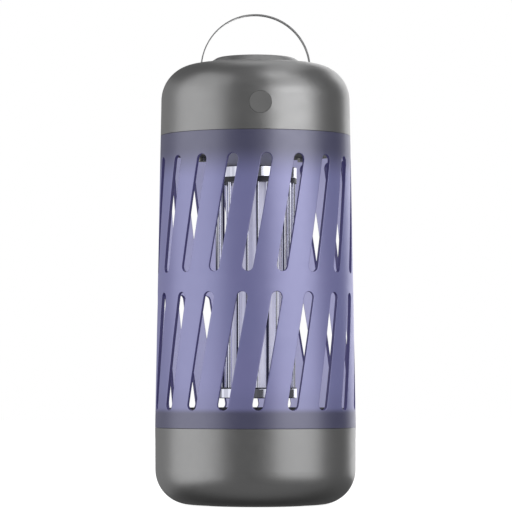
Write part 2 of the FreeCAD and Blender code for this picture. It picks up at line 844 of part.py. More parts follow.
def make_high_voltage_board():
    """Board with the step-up transformer and the storage capacitors."""
    top = "(hv_board_bottom + board_thickness)"
    low = ("-hv_board_half_x", "-hv_board_half_y", "hv_board_bottom")
    plate = box("hv_plate", low, ("hv_board_half_x", "hv_board_half_y", top))
    drills = []
    for number, (x, y) in enumerate(four_corners("standoff_x", "standoff_y"), start=1):
        foot = (x, y, "hv_board_bottom")
        drill = cylinder(f"hv_drill_{number}", foot, "board_screw_radius", "board_thickness")
        drills.append(drill)
    keep(cut("hv_board", plate, fuse("hv_drills", *drills)), "hv_board")

    left = "transformer_x - core_length / 2"
    right = "transformer_x + core_length / 2"
    front = "transformer_y - core_width / 2"
    back = "transformer_y + core_width / 2"
    lower = box("lower_core", (left, front, top), (right, back, f"{top} + core_height"))
    foot = ("transformer_x", "transformer_y", top)
    winding = cylinder("winding", foot, "winding_radius", "winding_height")
    level = f"{top} + winding_height"
    upper = box("upper_core", (left, front, level), (right, back, f"{level} + core_height"))
    keep(fuse("hv_transformer", lower, winding, upper), "hv_transformer")

    boxes = []
    right = "capacitor_x + capacitor_length"
    for number in range(int(SIZES["capacitor_count"])):
        front = f"capacitor_y + {number} * capacitor_spacing"
        back = f"{front} + capacitor_width"
        name = f"capacitor_{number + 1}"
        boxes.append(box(name, ("capacitor_x", front, top), (right, back, f"{top} + capacitor_height")))
    keep(group("hv_capacitors", *boxes), "hv_capacitors")


def make_cell():
    """Rechargeable cell lying across the cap, its cradle and its welded end tabs."""
    length = "2 * cell_half_length"
    left_end = ("-cell_half_length", "cell_y", "cell_z")
    right_end = ("cell_half_length", "cell_y", "cell_z")
    can = cylinder("cell_can", left_end, "cell_radius", length, "x")
    nub = cylinder("cell_nub", right_end, "cell_nub_radius", "cell_nub_length", "x")
    keep(fuse("battery_cell", can, nub), "battery_cell")
    saddles = []
    for name, near, far in (
        ("left", "-cradle_outer_x", "-cradle_inner_x"), ("right", "cradle_inner_x", "cradle_outer_x")
    ):
        low = (near, "cell_y - cradle_half_width", "chassis_floor")
        saddles.append(box(f"saddle_{name}", low, (far, "cell_y + cradle_half_width", "cell_z")))
    low = ("-cradle_inner_x", "cell_y - bridge_half_width", "bridge_bottom")
    high = ("cradle_inner_x", "cell_y + bridge_half_width", "bridge_bottom + bridge_thickness")
    frame = fuse("cradle_blank", *saddles, box("bridge", low, high))
    room = cylinder("cell_room", left_end, "cell_radius + cradle_clearance", length, "x")
    keep(cut("battery_cradle", frame, room), "battery_cradle")
    tabs = []
    for name, start in (
        ("left", "-cell_half_length - tab_thickness"), ("right", "cell_half_length + cell_nub_length")
    ):
        low = (start, "cell_y - tab_half_size", "cell_z - tab_half_size")
        high = (f"{start} + tab_thickness", "cell_y + tab_half_size", "cell_z + tab_half_size")
        tabs.append(box(f"tab_{name}", low, high))
    keep(group("battery_tabs", *tabs), "battery_tabs")


def make_switch():
    """Control board behind the button, with its tactile switch and the switch's plunger."""
    low = ("-control_board_half", "-control_board_front", "control_board_bottom")
    high = ("control_board_half", "-control_board_front + board_thickness", "control_board_top")
    keep(box("control_board", low, high), "control_board")
    low = ("-switch_half_size", "-switch_front", "button_z - switch_half_size")
    high = ("switch_half_size", "-control_board_front", "button_z + switch_half_size")
    case = box("switch_case", low, high)
    depth = "switch_front - switch_bore_end"
    bore = cylinder("switch_hole", ("0", "-switch_front", "button_z"), "switch_bore", depth, "y")
    keep(cut("tact_switch", case, bore), "tact_switch")
    length = "plunger_front - plunger_back"
    keep(
        cylinder("switch_plunger", ("0", "-plunger_front", "button_z"), "plunger_radius", length, "y"),
        "switch_plunger",
    )


def make_power_button():
    """Round push button with a flange that keeps it in the cap and a stem to the switch."""
    body = new_body("power_button")
    sketch = new_sketch(body, "button_profile", "XY_Plane", offset="button_z")
    draw_outline(sketch, [
        ("0", "-button_face"),
        ("button_radius - button_edge", "-button_face"),
        ("button_radius", "-button_face + button_edge"),
        ("button_radius", "-button_flange_front"),
        ("button_flange_radius", "-button_flange_front"),
        ("button_flange_radius", "-button_flange_back"),
        ("button_stem_radius", "-button_flange_back"),
        ("button_stem_radius", "-button_stem_end"),
        ("0", "-button_stem_end"),
    ])
    turn(body, sketch, "Revolution")


def make_charging():
    """Charging socket on its small board at the back of the cap."""
    floor = "(port_z - socket_height / 2)"
    low = ("-charge_board_half", "charge_board_front", f"{floor} - board_thickness")
    keep(box("charge_board", low, ("charge_board_half", "charge_board_back", floor)), "charge_board")
    body = new_body("usb_socket")
    shell = new_sketch(body, "socket_outline", "XZ_Plane", offset="-socket_mouth")
    draw_rounded(shell, "socket_half_width", "socket_height / 2", "socket_corner")
    extrude(body, shell, "Pad", "socket_mouth - socket_front")
    mouth = new_sketch(body, "socket_cavity", "XZ_Plane", offset="-socket_mouth")
    draw_rounded(
        mouth, "socket_half_width - socket_shell", "socket_height / 2 - socket_shell",
        "socket_corner - socket_shell",
    )
    extrude(body, mouth, "Pocket", "socket_depth", reversed_way=True)


def draw_rounded(sketch, half_width, half_height, corner):
    """A rectangle with round corners, centred on the charging port."""
    radius = size(corner)
    centres = []
    arcs = []
    for number, (i, j) in enumerate(((1, 1), (-1, 1), (-1, -1), (1, -1))):
        x = f"{i} * ({half_width} - ({corner}))"
        z = f"port_z + {j} * ({half_height} - ({corner}))"
        centres.append((x, z))
        circle = Part.Circle(Vector(size(x), size(z), 0), Vector(0, 0, 1), radius)
        start = number * math.pi / 2
        arcs.append(sketch.addGeometry(Part.ArcOfCircle(circle, start, start + math.pi / 2)))
    for number, arc in enumerate(arcs):
        following = arcs[(number + 1) % len(arcs)]
        ends = [sketch.getPoint(arc, 2), sketch.getPoint(following, 1)]
        side = sketch.addGeometry(Part.LineSegment(*ends))
        sketch.addConstraint(Sketcher.Constraint("Tangent", arc, 2, side, 1))
        sketch.addConstraint(Sketcher.Constraint("Tangent", side, 2, following, 1))
    for arc, (x, z) in zip(arcs, centres):
        fix_point(sketch, arc, 3, x, z)
    index = sketch.addConstraint(Sketcher.Constraint("Radius", arcs[0], radius))
    sketch.setExpression(f"Constraints[{index}]", bound(corner))


def flap_outline(sketch, inner, half_height, proud):
    """Section through the port's recess or flap, from an inner radius to the skin or beyond."""
    low = f"(port_z - {half_height})"
    high = f"(port_z + {half_height})"
    draw_outline(sketch, [
        (inner, low), (f"{skin(low)} + {proud}", low), (f"{skin(high)} + {proud}", high), (inner, high),
    ])


def make_port_cover():
    """Soft flap over the charging port, with a plug that stands in the opening."""
    body = new_body("port_cover")
    sketch = new_sketch(body, "flap_section", "YZ_Plane")
    flap_outline(sketch, "flap_radius", "flap_half_height", "0")
    turn(body, sketch, "Revolution", "flap_angle", both_ways=True)
    plug = new_sketch(body, "flap_plug", "XZ_Plane", offset="-plug_end")
    corners = four_corners("plug_half_width", "plug_half_height")
    corners = [corners[0], corners[2], corners[3], corners[1]]
    draw_outline(plug, [(x, f"port_z + {z}") for x, z in corners])
    reach = "flap_radius + seam_gap - plug_end"
    extrude(body, plug, "Pad", reach, reversed_way=True)


# ---------------------------------------------------------------- cap and bail


def make_top_cap():
    """Domed cap with the button's hole, the port, the bail's groove and four screw posts."""
    bottom = "(grille_top + seam_gap / 2)"
    roof = "(shoulder_height - wall)"
    inside = f"({skin('shoulder_height')} - wall)"
    edge = skin("shoulder_height")
    body = turned_body("top_cap", [
        (f"{skin(bottom)} - wall", bottom),
        (skin(bottom), bottom),
        (edge, "shoulder_height"),
        ("bail_groove_outer", "shoulder_height"),
        ("bail_groove_outer", "bail_groove_floor"),
        ("bail_groove_inner", "bail_groove_floor"),
        ("bail_groove_inner", "shoulder_height"),
        ("disc_foot_radius", "shoulder_height"),
        ("disc_top_radius", "disc_edge_height"),
        ("0", "crown_height"),
        ("0", "crown_height - wall"),
        ("disc_top_radius", "disc_edge_height - wall"),
        ("rib_inner - wall / 2", roof),
        ("rib_inner", "rib_bottom"),
        ("rib_outer", "rib_bottom"),
        ("rib_outer", roof),
        (inside, roof),
    ])
    round_edges(body, [(inside, roof)], "shoulder_inner_corner")
    round_edges(body, [(edge, "shoulder_height")], "shoulder_corner")
    blends = [("disc_foot_radius", "shoulder_height"), ("disc_top_radius", "disc_edge_height")]
    round_edges(body, blends, "disc_blend")

    posts = four_corners("post_offset", "post_offset")
    foot = "(chassis_floor + post_gap)"
    pads = [(x, y, "post_radius") for x, y in posts]
    round_features(body, "cap_posts", "Pad", foot, f"post_top - {foot}", pads, upward=True)
    pilots = [(x, y, "screw_radius") for x, y in posts]
    round_features(body, "cap_pilots", "Pocket", foot, "screw_depth", pilots, upward=True)

    button = new_sketch(body, "button_opening", "XZ_Plane")
    draw_circle(button, "0", "button_z", "button_hole")
    extrude(body, button, "Pocket", "body_radius", reversed_way=True)
    recess = new_sketch(body, "port_recess", "YZ_Plane")
    flap_outline(recess, "recess_radius", "recess_half_height", "wall")
    turn(body, recess, "Groove", "recess_angle", both_ways=True)
    port = new_sketch(body, "port_opening", "XZ_Plane")
    draw_rounded(port, "port_half_width", "port_half_height", "port_corner")
    extrude(body, port, "Pocket", "body_radius")
    pivots = new_sketch(body, "bail_pivots", "YZ_Plane")
    draw_circle(pivots, "0", "bail_z", "pin_bore")
    extrude(body, pivots, "Pocket", "2 * bail_groove_inner + seam_gap / 2", both_ways=True)
    notches = [("0", f"{side} * notch_y", "notch_radius") for side in (1, -1)]
    round_features(
        body, "lift_notches", "Pocket", "shoulder_height", "notch_depth", notches, upward=False
    )


def make_bail():
    """Flat strip bent to a half circle, with a rounded eye at each end, and its two pins."""
    body = new_body("bail_handle")
    inner = "(bail_radius - bail_thickness / 2)"
    outer = "(bail_radius + bail_thickness / 2)"
    strip = new_sketch(body, "bail_strip", "XY_Plane", offset="bail_z")
    draw_outline(strip, [
        (inner, "-bail_width / 2"), (outer, "-bail_width / 2"),
        (outer, "bail_width / 2"), (inner, "bail_width / 2"),
    ])
    bend = turn(body, strip, "Revolution", "bail_sweep")
    bend.Reversed = True
    eye = new_sketch(body, "bail_eye", "YZ_Plane", offset=inner)
    draw_circle(eye, "0", "bail_z", "bail_width / 2")
    repeat(body, extrude(body, eye, "Pad", "bail_thickness"), "bail_eye_count")
    drill = new_sketch(body, "bail_drill", "YZ_Plane")
    draw_circle(drill, "0", "bail_z", "bail_hole")
    extrude(body, drill, "Pocket", "2 * bail_radius + bail_width", both_ways=True)

    pins = []
    length = f"{outer} - pin_end"
    for name, shank_foot, head_foot in (
        ("right", "pin_end", outer),
        ("left", f"-{outer}", f"-{outer} - pin_head_height"),
    ):
        place = (shank_foot, "0", "bail_z")
        shank = cylinder(f"pin_shank_{name}", place, "pin_radius", length, "x")
        place = (head_foot, "0", "bail_z")
        head = cylinder(f"pin_head_{name}", place, "pin_head_radius", "pin_head_height", "x")
        pins.append(fuse(f"pin_{name}", shank, head))
    keep(group("bail_pins", *pins), "bail_pins")


# ---------------------------------------------------------------- build, check and write


def check_document():
    """Stop if any feature failed, or if a cut removed or a pad added nothing."""
    adding = ("PartDesign::Pad", "PartDesign::Revolution")
    cutting = ("PartDesign::Pocket", "PartDesign::Groove", "PartDesign::SubtractiveHelix")
    for thing in doc.Objects:
        if "Invalid" in thing.State or "Error" in thing.State:
            raise RuntimeError(f"{thing.Label}: {thing.State}")
        base = getattr(thing, "BaseFeature", None)
        if base is None or thing.TypeId not in adding + cutting:
            continue
        change = thing.Shape.Volume - base.Shape.Volume
        if (change <= 0) == (thing.TypeId in adding):
            raise RuntimeError(f"{thing.Label}: changes the volume by {change:.3f}")


def write_subparts():
    """Check every sub-part's shape and write each one to its own file."""
    os.makedirs("parts", exist_ok=True)
    for node, thing in SUBPARTS.items():
        shape = thing.Shape
        if shape.isNull() or not shape.isValid() or shape.Volume <= 0:
            raise RuntimeError(f"{node}: the shape is not a valid solid")
    for node, thing in SUBPARTS.items():
        thing.Shape.exportStep(f"parts/{node}.step")
        print(f"{node}: {len(thing.Shape.Solids)} solid(s), {thing.Shape.Volume:.1f} mm3")


make_base_cup()
make_foot_pad()
make_insect_tray()
make_outer_grille()
make_lock_ring()
make_grid()
make_grid_rods()
make_leads()
make_lamp()
make_chassis()
make_screws()
make_high_voltage_board()
make_cell()
make_switch()
make_power_button()
make_charging()
make_port_cover()
make_top_cap()
make_bail()
doc.recompute()
check_document()
write_subparts()
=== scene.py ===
"""Looks of the electric bug zapper: materials, the finely modelled outer pieces, light and camera.

The zapper stands on z = 0 with its axis on the Z axis. Lengths are in metres, except in the outlines of
the grille and the button, which are in millimetres until Skin.piece scales them by MM.
"""

import json
import math

import bmesh
import bpy
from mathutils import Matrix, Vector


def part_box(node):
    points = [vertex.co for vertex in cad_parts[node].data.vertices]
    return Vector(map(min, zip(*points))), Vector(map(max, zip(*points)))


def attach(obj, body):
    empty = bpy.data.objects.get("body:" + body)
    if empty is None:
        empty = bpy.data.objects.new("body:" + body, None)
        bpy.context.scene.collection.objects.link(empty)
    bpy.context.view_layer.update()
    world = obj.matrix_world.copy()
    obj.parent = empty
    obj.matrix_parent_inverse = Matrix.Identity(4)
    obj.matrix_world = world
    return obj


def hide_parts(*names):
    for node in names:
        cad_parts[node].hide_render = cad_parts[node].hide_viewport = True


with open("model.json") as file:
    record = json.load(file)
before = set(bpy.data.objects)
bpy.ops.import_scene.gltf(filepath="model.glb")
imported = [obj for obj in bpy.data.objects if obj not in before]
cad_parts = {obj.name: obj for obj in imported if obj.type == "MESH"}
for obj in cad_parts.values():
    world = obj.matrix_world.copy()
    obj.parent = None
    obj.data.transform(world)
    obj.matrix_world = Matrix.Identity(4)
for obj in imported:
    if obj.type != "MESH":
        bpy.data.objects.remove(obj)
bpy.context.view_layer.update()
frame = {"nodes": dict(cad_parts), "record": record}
nodes = frame["nodes"]

MM = 0.001
TURN = 2 * math.pi
GRAIN = 0.0003
FINE_RELIEF = 0.000004
RELIEF = 0.00001
DEEP_RELIEF = 0.00003
LOCK_RING_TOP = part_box("lock_ring")[1].z
CHASSIS_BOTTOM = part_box("cap_chassis")[0].z
ROD_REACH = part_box("grid_rod_01")[1].x


# ---------------------------------------------------------------- node helpers


class Tree:
    """A node material that is put together one named step at a time."""

    def __init__(self, name):
        self.material = bpy.data.materials.new(name)
        self.material.use_nodes = True
        self.nodes = self.material.node_tree.nodes
        self.links = self.material.node_tree.links
        self.shader = self.nodes["Principled BSDF"]
        self.place = self.add("ShaderNodeTexCoord").outputs["Object"]

    def add(self, kind, **values):
        """A new node with its properties set by name."""
        made = self.nodes.new(kind)
        for key, value in values.items():
            setattr(made, key, value)
        return made

    def fill(self, node, **inputs):
        """Give inputs of a node, by name or as _ and their index, a number or a link."""
        for key, value in inputs.items():
            socket = node.inputs[int(key[1:])] if key[0] == "_" else node.inputs[key]
            if isinstance(value, bpy.types.NodeSocket):
                self.links.new(value, socket)
            else:
                socket.default_value = value

    def stretched(self, scale):
        """Object coordinates scaled along each axis."""
        mapping = self.add("ShaderNodeMapping")
        self.fill(mapping, Vector=self.place, Scale=scale)
        return mapping.outputs["Vector"]

    def noise(self, size, detail=3.0, stretch=(1, 1, 1)):
        """Noise from 0 to 1 whose features are about size metres wide."""
        made = self.add("ShaderNodeTexNoise")
        self.fill(made, Vector=self.stretched(stretch), Scale=1 / size, Detail=detail)
        return made.outputs["Fac"]

    def math(self, operation, first, second=0.0):
        """The result of one operation on two values."""
        made = self.add("ShaderNodeMath", operation=operation)
        self.fill(made, _0=first, _1=second)
        return made.outputs[0]

    def spread(self, value, low, high, low_out=0.0, high_out=1.0):
        """Map low..high to low_out..high_out with soft ends."""
        made = self.add("ShaderNodeMapRange", interpolation_type="SMOOTHSTEP")
        self.fill(made, _0=value, _1=low, _2=high, _3=low_out, _4=high_out)
        return made.outputs[0]

    def blend(self, factor, first, second):
        """A colour between two colours."""
        made = self.add("ShaderNodeMix", data_type="RGBA")
        self.fill(made, _0=factor)
        for index, value in ((6, first), (7, second)):
            if isinstance(value, bpy.types.NodeSocket):
                self.links.new(value, made.inputs[index])
            else:
                made.inputs[index].default_value = (*value, 1.0)
        return made.outputs[2]

    def axis(self, name):
        """One of the object coordinates."""
        split = self.add("ShaderNodeSeparateXYZ")
        self.fill(split, Vector=self.place)
        return split.outputs[name]

    def bump(self, height, depth):
        """Surface normal for a relief of depth metres."""
        made = self.add("ShaderNodeBump")
        self.fill(made, Height=height, Distance=depth, Strength=1.0)
        return made.outputs["Normal"]

    def skin(self, dark, light, roughness, grain=GRAIN, depth=FINE_RELIEF):
        """Two close tints in patches, varying gloss and a fine grain."""
        self.fill(self.shader, **{"Base Color": self.blend(self.noise(0.012), dark, light)})
        wear = self.noise(0.004, 5.0)
        self.fill(self.shader, Roughness=self.spread(wear, 0.25, 0.75, *roughness))
        self.fill(self.shader, Normal=self.bump(self.noise(grain, 4.0), depth))

    def light_up(self, colour):
        """Give the surface an emitted colour: the lamp's own light, or painted light on the violet
        plastic.
        """
        self.fill(self.shader, **{"Emission Color": colour, "Emission Strength": 1.0})


def moulded(name, dark, light, roughness, grain=GRAIN, depth=FINE_RELIEF, **fixed):
    """Plastic or metal in two close tints; fixed holds shader inputs set to a number."""
    tree = Tree(name)
    tree.skin(dark, light, roughness, grain, depth)
    for key, value in fixed.items():
        tree.shader.inputs[key].default_value = value
    return tree


def brushed(name, dark, light, roughness, along):
    """Drawn or brushed metal with fine lines that run along one axis."""
    tree = Tree(name)
    stretch = [1.0, 1.0, 1.0]
    stretch["XYZ".index(along)] = 0.02
    lines = tree.noise(0.0004, 4.0, stretch)
    tree.fill(tree.shader, **{"Base Color": tree.blend(lines, dark, light)})
    tree.fill(tree.shader, Roughness=tree.spread(lines, 0.3, 0.7, *roughness), Metallic=1.0)
    tree.fill(tree.shader, Normal=tree.bump(lines, RELIEF))
    return tree


def violet_grille():
    """Satin tinted wall, painted glowing for the light that comes through the frosted plastic, with
    painted shade in darker bands at its top and bottom, where the dark rings behind it keep that light
    out.
    """
    tree = Tree("violet_grille")
    height = tree.axis("Z")
    # Painted light and shade: this mask is 0 in the bands in front of the dark rings behind the wall and
    # 1 between them.
    low_edge = tree.spread(height, LOCK_RING_TOP - 0.0024, LOCK_RING_TOP + 0.0006)
    low_fade = tree.spread(height, LOCK_RING_TOP - 0.0004, LOCK_RING_TOP + 0.0126, 0.8, 1.0)
    high_fade = tree.spread(height, CHASSIS_BOTTOM - 0.0143, CHASSIS_BOTTOM + 0.0017, 1.0, 0.0)
    painted_glow_mask = tree.math("MULTIPLY", tree.math("MULTIPLY", low_edge, low_fade), high_fade)
    # Base colours darker in the bands: painted shade.
    dark = tree.blend(painted_glow_mask, (0.242, 0.242, 0.294), (0.308, 0.308, 0.438))
    light = tree.blend(painted_glow_mask, (0.258, 0.258, 0.310), (0.328, 0.328, 0.462))
    tree.skin(dark, light, (0.36, 0.40))
    tree.shader.inputs["Metallic"].default_value = 0.75
    # Painted light: the emitted colour between the bands stands for light through the wall, and is faint
    # in the bands.
    lit = tree.blend(tree.noise(0.03, 1.0), (0.058, 0.064, 0.172), (0.068, 0.062, 0.172))
    tree.light_up(tree.blend(painted_glow_mask, (0.0, 0.0, 0.030), lit))
    return tree


def violet_edge():
    """The cut edges of the slots, in the skin's plastic painted darker for the shade in the slots, with
    faint painted light glowing from them.
    """
    tree = moulded("violet_edge", (0.08, 0.075, 0.20), (0.10, 0.09, 0.24), (0.4, 0.5))
    tree.light_up(tree.blend(tree.noise(0.02, 2.0), (0.007, 0.006, 0.024), (0.009, 0.007, 0.030)))
    return tree


def violet_inside():
    """The inner skin, a little lighter than the outer, with painted light glowing from it for the light
    that comes through the frosted wall.
    """
    tree = moulded("violet_inside", (0.36, 0.36, 0.50), (0.38, 0.38, 0.54), (0.5, 0.6))
    tree.light_up(tree.blend(tree.noise(0.02, 2.0), (0.20, 0.20, 0.30), (0.235, 0.23, 0.34)))
    return tree


def polished_rods():
    """Bright metal with painted reflections: near-black and near-white streaks along the rods, and plain
    light metal on the rings outside them.
    """
    tree = Tree("grid_steel")
    # Painted reflections: the streaks along the rods stand for highlights and dark reflected lines.
    streaks = tree.spread(tree.noise(0.0011, 2.0, (1.0, 1.0, 0.01)), 0.44, 0.54)
    across = tree.add("ShaderNodeVectorMath", operation="LENGTH")
    tree.fill(across, Vector=tree.stretched((1.0, 1.0, 0.0)))
    ring = tree.spread(across.outputs["Value"], ROD_REACH + 0.00005, ROD_REACH + 0.0003, 0.0, 0.7)
    painted_streaks_or_ring = tree.math("MAXIMUM", streaks, ring)
    rod_colour_with_painted_reflections = tree.blend(painted_streaks_or_ring, (0.05, 0.05, 0.10), (0.85, 0.86, 1.0))
    tree.fill(tree.shader, **{"Base Color": rod_colour_with_painted_reflections})
    wear = tree.noise(0.0006, 4.0, (1.0, 1.0, 0.05))
    tree.fill(tree.shader, Roughness=tree.spread(wear, 0.3, 0.7, 0.06, 0.14), Metallic=1.0)
    tree.fill(tree.shader, Normal=tree.bump(wear, FINE_RELIEF))
    return tree


def lamp_glow():
    """Frosted lamp tube, softly lit from inside, with faint streaks along it."""
    tree = moulded("frosted_tube", (0.62, 0.62, 0.68), (0.72, 0.72, 0.78), (0.2, 0.28))
    streaks = tree.spread(tree.noise(0.003, 2.0, (1.0, 1.0, 0.03)), 0.35, 0.65)
    tree.light_up(tree.blend(streaks, (0.15, 0.15, 0.19), (0.34, 0.34, 0.40)))
    return tree


TREES = {
    "satin_grey": moulded(
        "satin_grey", (0.40, 0.40, 0.405), (0.44, 0.44, 0.44), (0.34, 0.38), Metallic=0.85
    ),
    "violet_grille": violet_grille(),
    "violet_edge": violet_edge(),
    "violet_inside": violet_inside(),
    "bail_steel": brushed("bail_steel", (0.66, 0.66, 0.67), (0.8, 0.8, 0.8), (0.28, 0.38), "Y"),
    "grid_steel": polished_rods(),
    "black_plastic": moulded(
        "black_plastic", (0.016, 0.016, 0.028), (0.022, 0.022, 0.036), (0.35, 0.5), depth=RELIEF
    ),
    "boss_grey": moulded(
        "boss_grey", (0.60, 0.61, 0.68), (0.68, 0.69, 0.76), (0.4, 0.5), depth=RELIEF
    ),
    "button_grey": moulded(
        "button_grey", (0.24, 0.24, 0.24), (0.27, 0.27, 0.27), (0.5, 0.6), depth=0.000006
    ),
    "soft_rubber": moulded(
        "soft_rubber", (0.028, 0.028, 0.028), (0.036, 0.036, 0.036), (0.65, 0.8), 0.0004, 0.00002
    ),
    "frosted_tube": lamp_glow(),
    "circuit_board": moulded(
        "circuit_board", (0.015, 0.09, 0.05), (0.03, 0.14, 0.08), (0.3, 0.4), 0.0008, DEEP_RELIEF
    ),
    "led_package": moulded(
        "led_package", (0.82, 0.80, 0.68), (0.88, 0.86, 0.74), (0.25, 0.35), depth=RELIEF
    ),
    "contact_brass": brushed("contact_brass", (0.70, 0.50, 0.22), (0.8, 0.6, 0.3), (0.2, 0.3), "Z"),
    "zinc_screw": brushed("zinc_screw", (0.5, 0.5, 0.48), (0.6, 0.6, 0.6), (0.25, 0.4), "Z"),
    "ferrite_core": moulded(
        "ferrite_core", (0.04, 0.04, 0.04), (0.06, 0.06, 0.06), (0.5, 0.7), depth=DEEP_RELIEF
    ),
    "film_capacitor": moulded(
        "film_capacitor", (0.40, 0.08, 0.03), (0.5, 0.12, 0.05), (0.2, 0.3), 0.001, DEEP_RELIEF
    ),
    "cell_wrap": moulded(
        "cell_wrap", (0.04, 0.18, 0.42), (0.06, 0.22, 0.48), (0.2, 0.3), 0.002, DEEP_RELIEF
    ),
    "nickel_tab": brushed("nickel_tab", (0.6, 0.58, 0.55), (0.7, 0.68, 0.65), (0.2, 0.3), "X"),
    "port_metal": brushed("port_metal", (0.65, 0.65, 0.65), (0.75, 0.75, 0.75), (0.2, 0.3), "Y"),
}
for part in frame["record"]["subparts"]:
    nodes[part["node"]].data.materials[0] = TREES[part["material_slot"]].material


# ---------------------------------------------------------------- mesh helpers


class Skin:
    """Points and quads that become one mesh piece."""

    def __init__(self):
        self.points = []
        self.quads = []
        self.finishes = []

    def loops(self, rings, finish=0):
        """Quads between neighbouring rings of equally many points, in one of the materials."""
        count = len(rings[0])
        first = len(self.points)
        for ring in rings:
            self.points.extend(ring)
        for row in range(len(rings) - 1):
            for step in range(count):
                a = first + row * count + step
                b = first + row * count + (step + 1) % count
                self.quads.append((a, b, b + count, a + count))
                self.finishes.append(finish)

    def piece(self, name, materials):
        """The mesh object, with points that coincide merged."""
        mesh = bpy.data.meshes.new(name)
        mesh.from_pydata([[c * MM for c in point] for point in self.points], [], self.quads)
        for material in materials:
            mesh.materials.append(material)
        mesh.polygons.foreach_set("material_index", self.finishes)
        work = bmesh.new()
        work.from_mesh(mesh)
        bmesh.ops.remove_doubles(work, verts=work.verts, dist=0.002 * MM)
        bmesh.ops.recalc_face_normals(work, faces=work.faces)
        for face in work.faces:
            face.smooth = True
        work.to_mesh(mesh)
        work.free()
        made = bpy.data.objects.new(name, mesh)
        bpy.context.scene.collection.objects.link(made)
        weighted = made.modifiers.new("weighted", "WEIGHTED_NORMAL")
        weighted.weight = 80
        return made


# ---------------------------------------------------------------- slotted grille

BODY_RADIUS = 45.0
BODY_FOOT = 34.7
TAPER = 0.0179
WALL = 1.5
GRILLE_BOTTOM, GRILLE_TOP = (corner.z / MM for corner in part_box("outer_grille"))
# How much further than its CAD node the tube reaches into the seams above and below it.
SEAM_FILL = 0.13
SLOT_COUNT = 18
SLOT_RADIUS = 2.4
SLOT_LEAN = math.radians(10.0)
ROWS = (
    # bottom, top, angle of the first slot
    (42.65, 94.6, 3.8),
    (103.5, 155.2, -2.0),
)
# Radii of the rounded edges of the slots and of the tube's ends, and their quarter turn in steps.
EDGE = 0.25
RIM_EDGE = 0.1
ROUNDING = [TURN / 12 * step for step in range(4)]
# Each slot lies in a patch of wall: a flat strip next to its edge, then quads out to the patch's border.
EDGE_STRIP = 0.25
SIDE_STEPS = 26
CAP_STEPS = 12
PATCH_MARGIN = 1.9
# Heights of the rings of points between the patches and the ends of the tube.
LOW_BAND = 38.0
HIGH_BAND = 161.0
# The three finishes, in the order in which the piece lists its materials.
SKIN, CUT, INSIDE = range(3)


def shell_radius(height):
    """Outer radius of the tapered body."""
    return BODY_RADIUS - TAPER * (height - BODY_FOOT)


HELIX = math.tan(SLOT_LEAN) / shell_radius(100.0)


def on_shell(angle, height, depth):
    """A point under the skin by its angle from -Y towards +X."""
    radius = shell_radius(height) - depth
    return (radius * math.sin(angle), -radius * math.cos(angle), height)


def slot_outline(bottom, top, clearance):
    """Points round a slot as (sideways, height), widened by clearance."""
    reach = (top - bottom) / 2 - SLOT_RADIUS
    middle = (top + bottom) / 2
    radius = SLOT_RADIUS + clearance
    shift = reach * math.tan(SLOT_LEAN)
    side = (math.cos(SLOT_LEAN) * radius, -math.sin(SLOT_LEAN) * radius)
    points = []
    for step in range(SIDE_STEPS):
        along = 2 * step / SIDE_STEPS - 1
        points.append((along * shift - side[0], middle + along * reach - side[1]))
    for step in range(CAP_STEPS):
        turn = math.pi - SLOT_LEAN - math.pi * step / CAP_STEPS
        points.append((shift + radius * math.cos(turn), middle + reach + radius * math.sin(turn)))
    for step in range(SIDE_STEPS):
        along = 1 - 2 * step / SIDE_STEPS
        points.append((along * shift + side[0], middle + along * reach + side[1]))
    for step in range(CAP_STEPS):
        turn = -SLOT_LEAN - math.pi * step / CAP_STEPS
        points.append((radius * math.cos(turn) - shift, middle - reach + radius * math.sin(turn)))
    return points


def patch_outline(bottom, top):
    """Corners and edges of the leaning patch round a slot as (angle, height)."""
    half = math.pi / SLOT_COUNT
    middle = (top + bottom) / 2
    low = bottom - PATCH_MARGIN
    high = top + PATCH_MARGIN
    points = []
    for step in range(SIDE_STEPS):
        height = low + (high - low) * step / SIDE_STEPS
        points.append((HELIX * (height - middle) - half, height))
    for step in range(CAP_STEPS):
        points.append((HELIX * (high - middle) - half + 2 * half * step / CAP_STEPS, high))
    for step in range(SIDE_STEPS):
        height = high - (high - low) * step / SIDE_STEPS
        points.append((HELIX * (height - middle) + half, height))
    for step in range(CAP_STEPS):
        points.append((HELIX * (low - middle) + half - 2 * half * step / CAP_STEPS, low))
    return points


def slot_ring(bottom, top, angle, clearance, depth):
    """The slot's outline at one depth below the skin."""
    ring = []
    for sideways, height in slot_outline(bottom, top, clearance):
        radius = shell_radius(height) - depth
        ring.append(on_shell(angle + math.asin(sideways / radius), height, depth))
    return ring


def sheet_rings(bottom, top, angle, depth, shares):
    """Rings from the slot's outline out to the patch's edge on one skin."""
    start = []
    for sideways, height in slot_outline(bottom, top, EDGE + EDGE_STRIP):
        radius = shell_radius(height) - depth
        start.append((math.asin(sideways / radius), height))
    end = patch_outline(bottom, top)
    rings = []
    for share in shares:
        ring = []
        for (angle_a, height_a), (angle_b, height_b) in zip(start, end):
            across = angle_a + (angle_b - angle_a) * share
            ring.append(on_shell(angle + across, height_a + (height_b - height_a) * share, depth))
        rings.append(ring)
    return rings


def row_edge(row, high):
    """The angle at which one end of a row of patches starts, and that end's height."""
    bottom, top, angle = ROWS[row]
    height = top + PATCH_MARGIN if high else bottom - PATCH_MARGIN
    start = math.radians(angle) + HELIX * (height - (top + bottom) / 2) - math.pi / SLOT_COUNT
    return start, height


def ring_round(start, height, depth):
    """A full ring with as many points as the patches have along their ends."""
    count = SLOT_COUNT * CAP_STEPS
    return [on_shell(start + TURN * step / count, height, depth) for step in range(count)]


